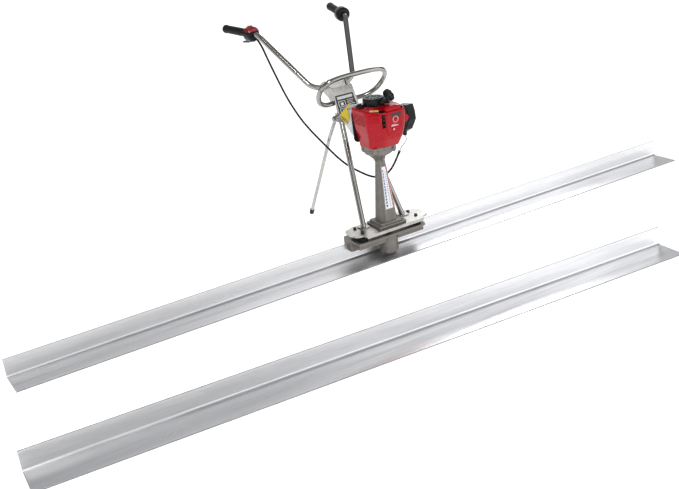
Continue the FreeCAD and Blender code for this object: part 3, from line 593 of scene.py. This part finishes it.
def cleaner_lumps(bm):
    outline = rounded_profile([(-40, 580), (14, 573), (22, 564), (22, 474), (16, 470), (-25, 497), (-51, 534),
                               (-49, 560)], 6, 3)
    cy, cz = -14, 530
    add_loft(bm, [[(x, cy + (y - cy) * k, cz + (z - cz) * k) for y, z in outline]
                  for x, k in ((140, 1.0), (148, 0.97), (149.5, 0.92))])


def tag():
    """Yellow tag on a strap, lying against the tank's left end."""
    outline = [(60, 606), (72, 603), (118, 573), (120, 567), (84, 541), (74, 541), (50, 566), (50, 590)]
    bm = bmesh.new()
    add_loft(bm, [[(x, y, z) for y, z in rounded_profile(outline, 3, 2)] for x in (TAG_X, TAG_X + 0.8)])
    strap = [(62, 605), (48, 611), (34, 619), (30, 627), (38, 630), (52, 621), (70, 604)]
    add_loft(bm, [[(x, y, z) for y, z in rounded_profile(strap, 3, 2)] for x in (-84.9, -84.3)])
    for k in range(2):                      # two slanting stripes, from edge to edge of the tag
        a, b = (113 - 11 * k, 566 - 9 * k), (64 - 3 * k, 556 - 9 * k)
        x = TAG_X - 0.1
        add_sheet(bm, [(x, *a), (x, *b), (x, b[0], b[1] + 3.6), (x, a[0], a[1] + 3.6)], 0.3, 1)
    obj = finish_mesh("filler_tag", bm)
    for mat in ("label_yellow", "label_black"):
        obj.data.materials.append(MAT[mat])
    return finish_piece(obj, (), "frame")


def rope():
    """The short run of starter rope between the housing's mouth and the grip, as a fixed mesh; the real rope lengthens
    as the grip is pulled.
    """
    bm = bmesh.new()
    steps = 24
    rings = []
    for i in range(steps + 1):
        y = -19 - 33 * i / steps
        ring = []
        for k in range(16):
            a = 2 * math.pi * k / 16
            r = 1.75 + 0.15 * math.cos(3 * a + i * 0.9)
            ring.append((ROPE_X + r * math.cos(a), y, ROPE_Z + r * math.sin(a)))
        rings.append(ring)
    add_loft(bm, rings)
    obj = finish_mesh("starter_rope_laid", bm)
    obj.data.materials.append(MAT["rope_fibre"])
    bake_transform(obj)
    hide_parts("starter_rope")
    return obj


# ---- column ----
def shaft_at(z):
    """Half width and cut corner of the tapered shaft at a height."""
    t = (z - COL_Z0) / (COL_Z1 - COL_Z0)
    return COL_FOOT + (COL_NECK - COL_FOOT) * t, CORNER_FOOT + (CORNER_NECK - CORNER_FOOT) * t


def column_ribs(bm):
    """Ribs along the edges of the shaft's front and rear faces, and gussets under the head."""
    for s in (1, -1):
        for side in (1, -1):
            rings = []
            for z in (COL_Z0 - 2, 272, COL_Z1):
                half, corner = shaft_at(z)
                x, y = (half - corner) * s, half * side
                rings.append([(x - 1.7, y - 4 * side, z), (x + 1.7, y - 4 * side, z), (x + 1.7, y + 1.6 * side, z),
                              (x - 1.7, y + 1.6 * side, z)])
            add_loft(bm, rings)
    for a in (0, 90, 180, 270):
        c, s = math.cos(math.radians(a)), math.sin(math.radians(a))
        quad = [(12, 376), (16.5, 376), (28, 403), (50, 424), (50, 430), (12, 418)]
        add_loft(bm, [[(u * c - v * s, u * s + v * c, z) for u, z in quad] for v in (-2, 2)])


def column_labels():
    front, side = [], []
    for z, u in ((200, -1), (200, 1), (368, 1), (368, -1)):
        half, corner = shaft_at(z)
        front.append((u * (half - corner - 2.0), -half - 0.3, z))
    bars = [(0.16, 0.05 + 0.075 * i, 0.36, 0.105 + 0.075 * i, 1) for i in range(12)]
    bars += [(0.62, 0.06 + 0.05 * i, 0.80, 0.075 + 0.05 * i, 1) for i in range(17)]
    label("column_label_front", front, "frame", ("label_white", "label_blue"), bars)
    for z, u in ((200, 0.06), (200, 0.94), (368, 0.94), (368, 0.06)):
        half, corner = shaft_at(z)
        side.append((half - corner + corner * u + 0.25, -half + corner * u - 0.25, z))
    label("column_label_side", side, "frame", ("label_red", "label_white"),
          [(0.12, 0.10 + 0.1 * i, 0.34, 0.16 + 0.1 * i, 1) for i in range(8)])


# ---- labels on the engine and the head bracket ----
def panel_label():
    """Dark band at the top of the panel, a plain ring, two short bars and a round boss under it."""
    corners = [(x, cover_at(z, 2) - 6.3, z) for x, z in ((2, 574), (46, 574), (49, 594), (-1, 594))]
    label("panel_label", corners, "frame", ("label_maroon", "label_white"), [])
    bm = bmesh.new()
    cx, cz = 21, 569
    outer = [(cx + 12 * math.cos(math.pi * i / 18), cz + 12 * math.sin(math.pi * i / 18)) for i in range(36)]
    for i, (x, z) in enumerate(outer):
        x2, z2 = outer[(i + 1) % len(outer)]
        quad = []
        for px, pz, k in ((x, z, 1.0), (x, z, 0.86), (x2, z2, 0.86), (x2, z2, 1.0)):
            qx, qz = cx + (px - cx) * k, cz + (pz - cz) * k
            quad.append((qx, cover_at(qz, 2) - 6.7, qz))
        add_loft(bm, [quad, [(px, py - 0.35, pz) for px, py, pz in quad]])
    for x0, x1, z0, z1 in ((1, 32, 544, 547.5), (3, 22, 549.5, 551)):
        quad = [(x, cover_at(z, 2) - 6.4, z) for x, z in ((x0, z0), (x1, z0 - 1), (x1, z1 - 1), (x0, z1))]
        add_loft(bm, [quad, [(px, py - 0.35, pz) for px, py, pz in quad]])
    add_lathe(bm, [(0.1, 0), (3.4, 0), (3.4, 0.9), (0.1, 1.3)], (13, cover_at(531, 2) - 6.2, 531), (0, -1, 0), 24)
    obj = finish_mesh("panel_marks", bm)
    obj.data.materials.append(MAT["label_pink"])
    finish_piece(obj, (), "frame")


def top_sticker():
    def on_top(x, y):
        return (x, y, 596.4 + (y + 120) * 17 / 75)
    corners = [on_top(-64, -69), on_top(-34, -84), on_top(-26, -72), on_top(-56, -57)]
    label("top_sticker", corners, "frame", ("label_orange", "label_yellow"), [(0.42, 0.0, 0.58, 1.0, 1)])


def bracket_label():
    corners = []
    for x, s in ((-47, 438), (43, 438), (38, 524), (-43, 524)):
        corners.append((x, TUBE_FOOT[1] + s * math.sin(LEAN) + BRACKET_FACE * math.cos(LEAN),
                        TUBE_FOOT[2] + s * math.cos(LEAN) - BRACKET_FACE * math.sin(LEAN)))
    bars = [(0.08, 0.80, 0.92, 0.93, 1)] + [(0.14 + 0.13 * i, 0.83, 0.20 + 0.13 * i, 0.90, 0) for i in range(6)]
    bars += [(0.55, 0.70 - 0.07 * i, 0.92 - 0.05 * (i % 3), 0.72 - 0.07 * i, 1) for i in range(9)]
    for low in (0.10, 0.44):
        bars += [(0.08, low, 0.11, low + 0.28, 1), (0.43, low, 0.46, low + 0.28, 1), (0.11, low, 0.43, low + 0.025, 1),
                 (0.11, low + 0.255, 0.43, low + 0.28, 1), (0.2, low + 0.07, 0.34, low + 0.20, 1)]
    label("bracket_label", corners, "frame", ("label_black", "label_white"), bars)


def pull_grip():
    bm = bmesh.new()
    left, right = (ROPE_X - 34, -57, ROPE_Z + 2), (ROPE_X + 14, -57, ROPE_Z + 19)
    span = (Vector(right) - Vector(left)).length
    profile = [(0.1, 0), (6.6, 0), (7.2, 6), (6.0, 0.5 * span), (7.2, span - 6), (6.6, span), (0.1, span)]
    add_lathe(bm, lathe_profile(profile, 3), left, Vector(right) - Vector(left), 32)
    add_rod(bm, 4.6, (ROPE_X, -49.5, ROPE_Z), (ROPE_X, -58, ROPE_Z + 2), 24)
    add_rod(bm, 5.2, (ROPE_X, -57, ROPE_Z - 3), (ROPE_X, -57, ROPE_Z + 12), 24)
    finish_piece(remeshed(finish_mesh("pull_grip_moulded", bm), 0.8, 3), "pull_grip")


def finger_grooves(bm):
    for s in (1, -1):
        a, b = (Vector((x * s, y, z)) for x, y, z in (ARM_TOP, GRIP_END))
        d = (b - a).normalized()
        for i in range(4):
            at = a + d * (98 + 27 * i) + Vector((0, 0, -20.6))
            add_rod(bm, 9, at - Vector((30, 0, 0)), at + Vector((30, 0, 0)), 32)


# ---- all pieces ----
def build_pieces():
    for node in ("screed_board", "spare_board"):
        board = softened(node, 0.45, 2)
        # painted shade: faces picked by which way they face (flange tops, low front faces) take the dark grey metal
        board.data.materials.append(MAT["board_painted_shade"])
        for face in board.data.polygons:
            top = face.normal.z > 0.8 and face.center.z > 0.0705
            front = face.normal.y < -0.8 and face.center.z < 0.0035
            face.material_index = int(top or front)
    moulded("exciter_housing", 1.5, 3)
    moulded("column", 1.5, 3, add=column_ribs)
    column_labels()
    softened("isolator_mounts", 0.9, 2)
    softened("base_plate", 0.7, 2)
    bolts = softened("frame_bolts", 0.4, 1)
    bolts.data.materials.append(MAT["plate_steel"])
    for face in bolts.data.polygons:
        face.material_index = int(face.center.z > 0.5 and face.center.x < -0.045)
    softened("engine_screws", 0.4, 1)
    engine_cover()
    panel_label()
    top_sticker()
    moulded("recoil_housing", 1.0, 3, cut=recoil_slots)
    fuel_cap()
    oil_cap()
    softened("air_cleaner_case", 2.0, 3)
    moulded("air_cleaner_cover", 1.1, 5, add=cleaner_lumps)
    moulded("fuel_tank", 1.4, 5)
    tag()
    softened("rear_shell", 1.6, 3)
    pull_grip()
    rope()
    bracket_label()
    for node, width in (("head_bracket", 0.6), ("clamp_lower", 0.9), ("clamp_upper", 0.9), ("weld_lugs", 0.6),
                        ("throttle_housing", 0.7), ("switch_cap", 0.9), ("kill_switch", 0.8), ("control_collar", 0.9),
                        ("throttle_trigger", 0.9), ("bell_housing", 0.6), ("choke_lever", 0.5), ("exciter_cover", 0.8)):
        softened(node, width)
    moulded("hand_grips", 1.0, 2, cut=finger_grooves)


build_pieces()


# ---- cords ----
def cord_curve(name, points, radius, slot):
    curve = bpy.data.curves.new(name, "CURVE")
    curve.dimensions = "3D"
    spline = curve.splines.new("NURBS")
    spline.points.add(len(points) - 1)
    for point, at in zip(spline.points, points):
        point.co = (*at, 1)
    spline.order_u = 3
    spline.use_endpoint_u = True
    spline.resolution_u = 12
    curve.bevel_depth, curve.bevel_resolution, curve.use_fill_caps = radius, 5, True
    obj = bpy.data.objects.new(name, curve)
    scene.collection.objects.link(obj)
    curve.materials.append(MAT[slot])
    return obj


CABLE = [(-0.199, 0.521, 0.845), (-0.203, 0.478, 0.825), (-0.201, 0.446, 0.775), (-0.189, 0.416, 0.706),
         (-0.170, 0.383, 0.616), (-0.140, 0.352, 0.531), (-0.115, 0.312, 0.474), (-0.090, 0.262, 0.423),
         (-0.065, 0.228, 0.377), (-0.042, 0.188, 0.341), (-0.012, 0.143, 0.314), (0.015, 0.100, 0.295),
         (0.038, 0.060, 0.299), (0.056, 0.030, 0.322), (0.070, 0.006, 0.360), (0.082, -0.010, 0.400)]
WIRE = [(0.086, -0.014, 0.410), (0.093, -0.014, 0.424), (0.105, -0.020, 0.435), (0.110, -0.030, 0.449),
        (0.106, -0.038, 0.462), (0.101, -0.038, 0.474)]
cable = cord_curve("throttle_cable_sheath", CABLE, 0.004, "rubber_black")
finish_piece(cable, "throttle_cable")
wire = cord_curve("stop_wire_insulated", WIRE, 0.0013, "wire_red")
finish_piece(wire, "stop_wire")


# ---- floor and light ----
def add_floor():
    mesh = bpy.data.meshes.new("floor")
    mesh.from_pydata([(-14, -14, 0), (14, -14, 0), (14, 14, 0), (-14, 14, 0)], [], [(0, 1, 2, 3)])
    floor = bpy.data.objects.new("floor", mesh)
    scene.collection.objects.link(floor)
    floor.location.z = cad_box[0][2] - 0.0005
    s = Shader("floor_white", 0.6)
    s.colour(s.ramp(s.noise(2.0, 3), tones((0.80, 0.80, 0.80), (0.82, 0.82, 0.82))))
    s.set("Specular IOR Level", 0.0)
    s.set("Emission Color", (1, 1, 1, 1))
    s.set("Emission Strength", 0.75)
    mesh.materials.append(s.mat)


def area_light(name, at, aim, size, power):
    data = bpy.data.lights.new(name, "AREA")
    data.shape, data.size, data.size_y = "RECTANGLE", *size
    data.energy = power
    obj = bpy.data.objects.new(name, data)
    scene.collection.objects.link(obj)
    turn = (Vector(aim) - Vector(at)).to_track_quat("-Z", "Y")
    obj.matrix_world = Matrix.Translation(at) @ turn.to_matrix().to_4x4()


def add_world():
    """Grey studio walls with a few dark gaps, so that polished tubes show dark streaks; a dim ceiling."""
    world = bpy.data.worlds.new("studio")
    scene.world = world
    world.use_nodes = True
    tree = world.node_tree

    def math_node(kind, a, b=0.0):
        node = tree.nodes.new("ShaderNodeMath")
        node.operation = kind
        for socket, value in zip(node.inputs, (a, b)):
            if hasattr(value, "is_linked"):
                tree.links.new(value, socket)
            else:
                socket.default_value = value
        return node.outputs[0]

    def ramp(fac, stops):
        node = tree.nodes.new("ShaderNodeValToRGB")
        elements = node.color_ramp.elements
        elements[0].position, elements[1].position = stops[0][0], stops[-1][0]
        for at, _ in stops[1:-1]:
            elements.new(at)
        for element, (_, v) in zip(elements, stops):
            element.color = (v * 0.98, v * 0.99, v, 1)
        tree.links.new(fac, node.inputs["Fac"])
        return node.outputs["Color"]

    split = tree.nodes.new("ShaderNodeSeparateXYZ")
    tree.links.new(tree.nodes.new("ShaderNodeTexCoord").outputs["Generated"], split.inputs[0])
    azimuth = math_node("ARCTAN2", split.outputs[1], split.outputs[0])
    turn = math_node("ADD", math_node("DIVIDE", azimuth, 2 * math.pi), 0.5)
    walls = ramp(turn, [(0.0, 0.5), (0.03, 0.06), (0.09, 0.06), (0.12, 0.36), (0.22, 0.36), (0.26, 0.8), (0.32, 1.05),
                        (0.42, 1.1), (0.45, 0.05), (0.49, 0.05), (0.53, 0.20), (0.61, 0.26), (0.632, 0.50),
                        (0.65, 0.92), (0.68, 0.80), (0.74, 0.68), (0.79, 0.05), (0.87, 0.05), (0.92, 0.6), (1.0, 0.5)])
    ceiling = ramp(split.outputs[2], [(0.0, 0.0), (0.45, 0.0), (0.7, 1.0), (1.0, 1.0)])
    mix = tree.nodes.new("ShaderNodeMix")
    mix.data_type = "RGBA"
    tree.links.new(ceiling, mix.inputs[0])
    tree.links.new(walls, mix.inputs[6])
    mix.inputs[7].default_value = (0.20, 0.205, 0.215, 1)
    tree.links.new(mix.outputs[2], tree.nodes["Background"].inputs["Color"])
    tree.nodes["Background"].inputs["Strength"].default_value = 1.55


def add_light():
    scene.view_settings.view_transform = "Standard"
    add_world()
    area_light("key", (-2.4, -2.8, 3.4), (0, 0, 0.3), (1.0, 1.0), 75)
    area_light("rim", (2.9, 3.0, 2.3), (0.4, 0, 0.2), (1.0, 1.6), 34)


add_camera()
add_floor()
add_light()
